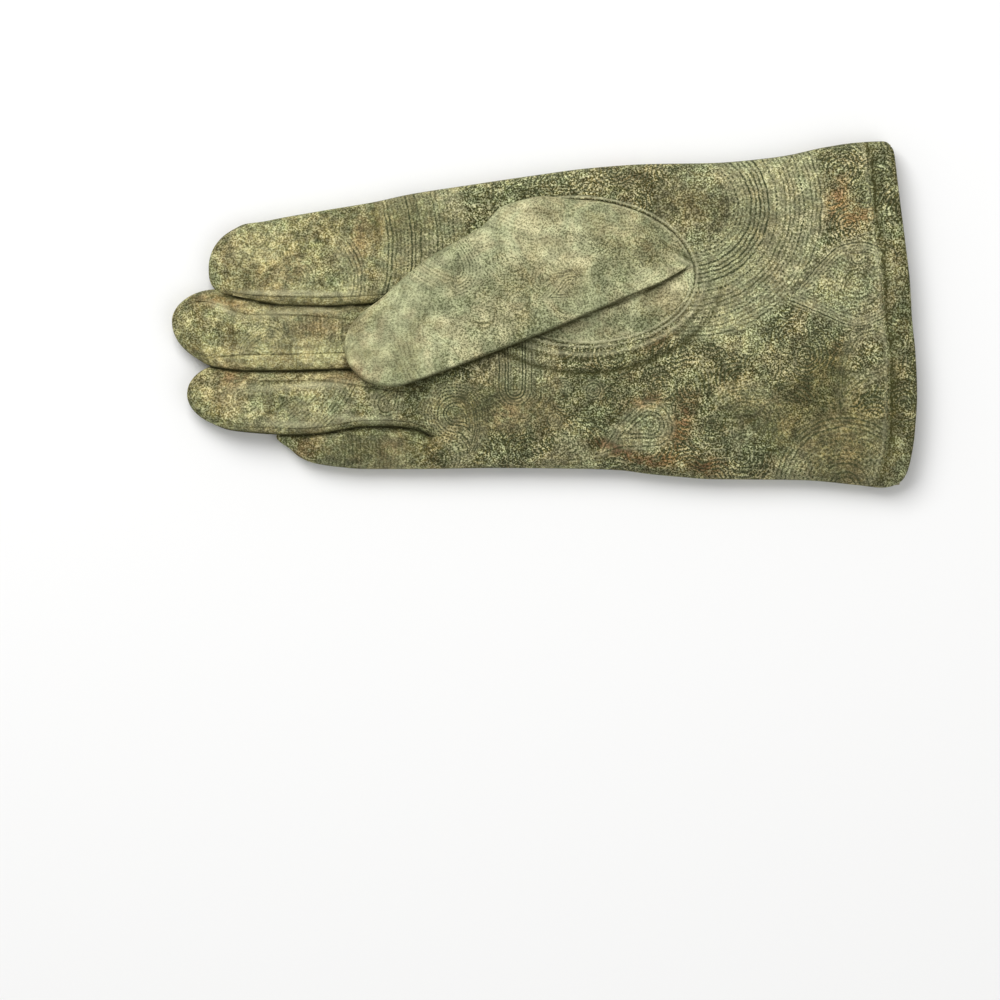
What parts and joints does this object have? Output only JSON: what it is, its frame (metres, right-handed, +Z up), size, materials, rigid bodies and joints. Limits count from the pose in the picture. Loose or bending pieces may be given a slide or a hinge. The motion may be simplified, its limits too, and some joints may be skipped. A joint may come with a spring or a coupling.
{
  "type": "suede dress glove",
  "caption": "Woman's wrist-length suede dress glove for the right hand, lying palm up with its thumb folded over the palm, hollow and open at the cuff.",
  "frame": {"origin": "on the surface it lies on, under the middle of the glove's outline", "axes": "+X from the fingertips to the cuff, +Y towards the index side and thumb, +Z up out of the palm"},
  "size_m": [0.235, 0.1096, 0.0198],
  "materials": {
    "suede_hand": "napped suede, olive green to tan, with a fine dark paisley line print",
    "suede_thumb": "napped suede, paler sage green, with a finer line print",
    "suede_fourchette": "napped suede, yellowish olive"
  },
  "bodies": {
    "root": {"trank": "suede_hand", "thumb": "suede_thumb", "fourchette_index_middle": "suede_fourchette", "fourchette_middle_ring": "suede_fourchette", "fourchette_ring_little": "suede_fourchette"}
  },
  "joints": []
}
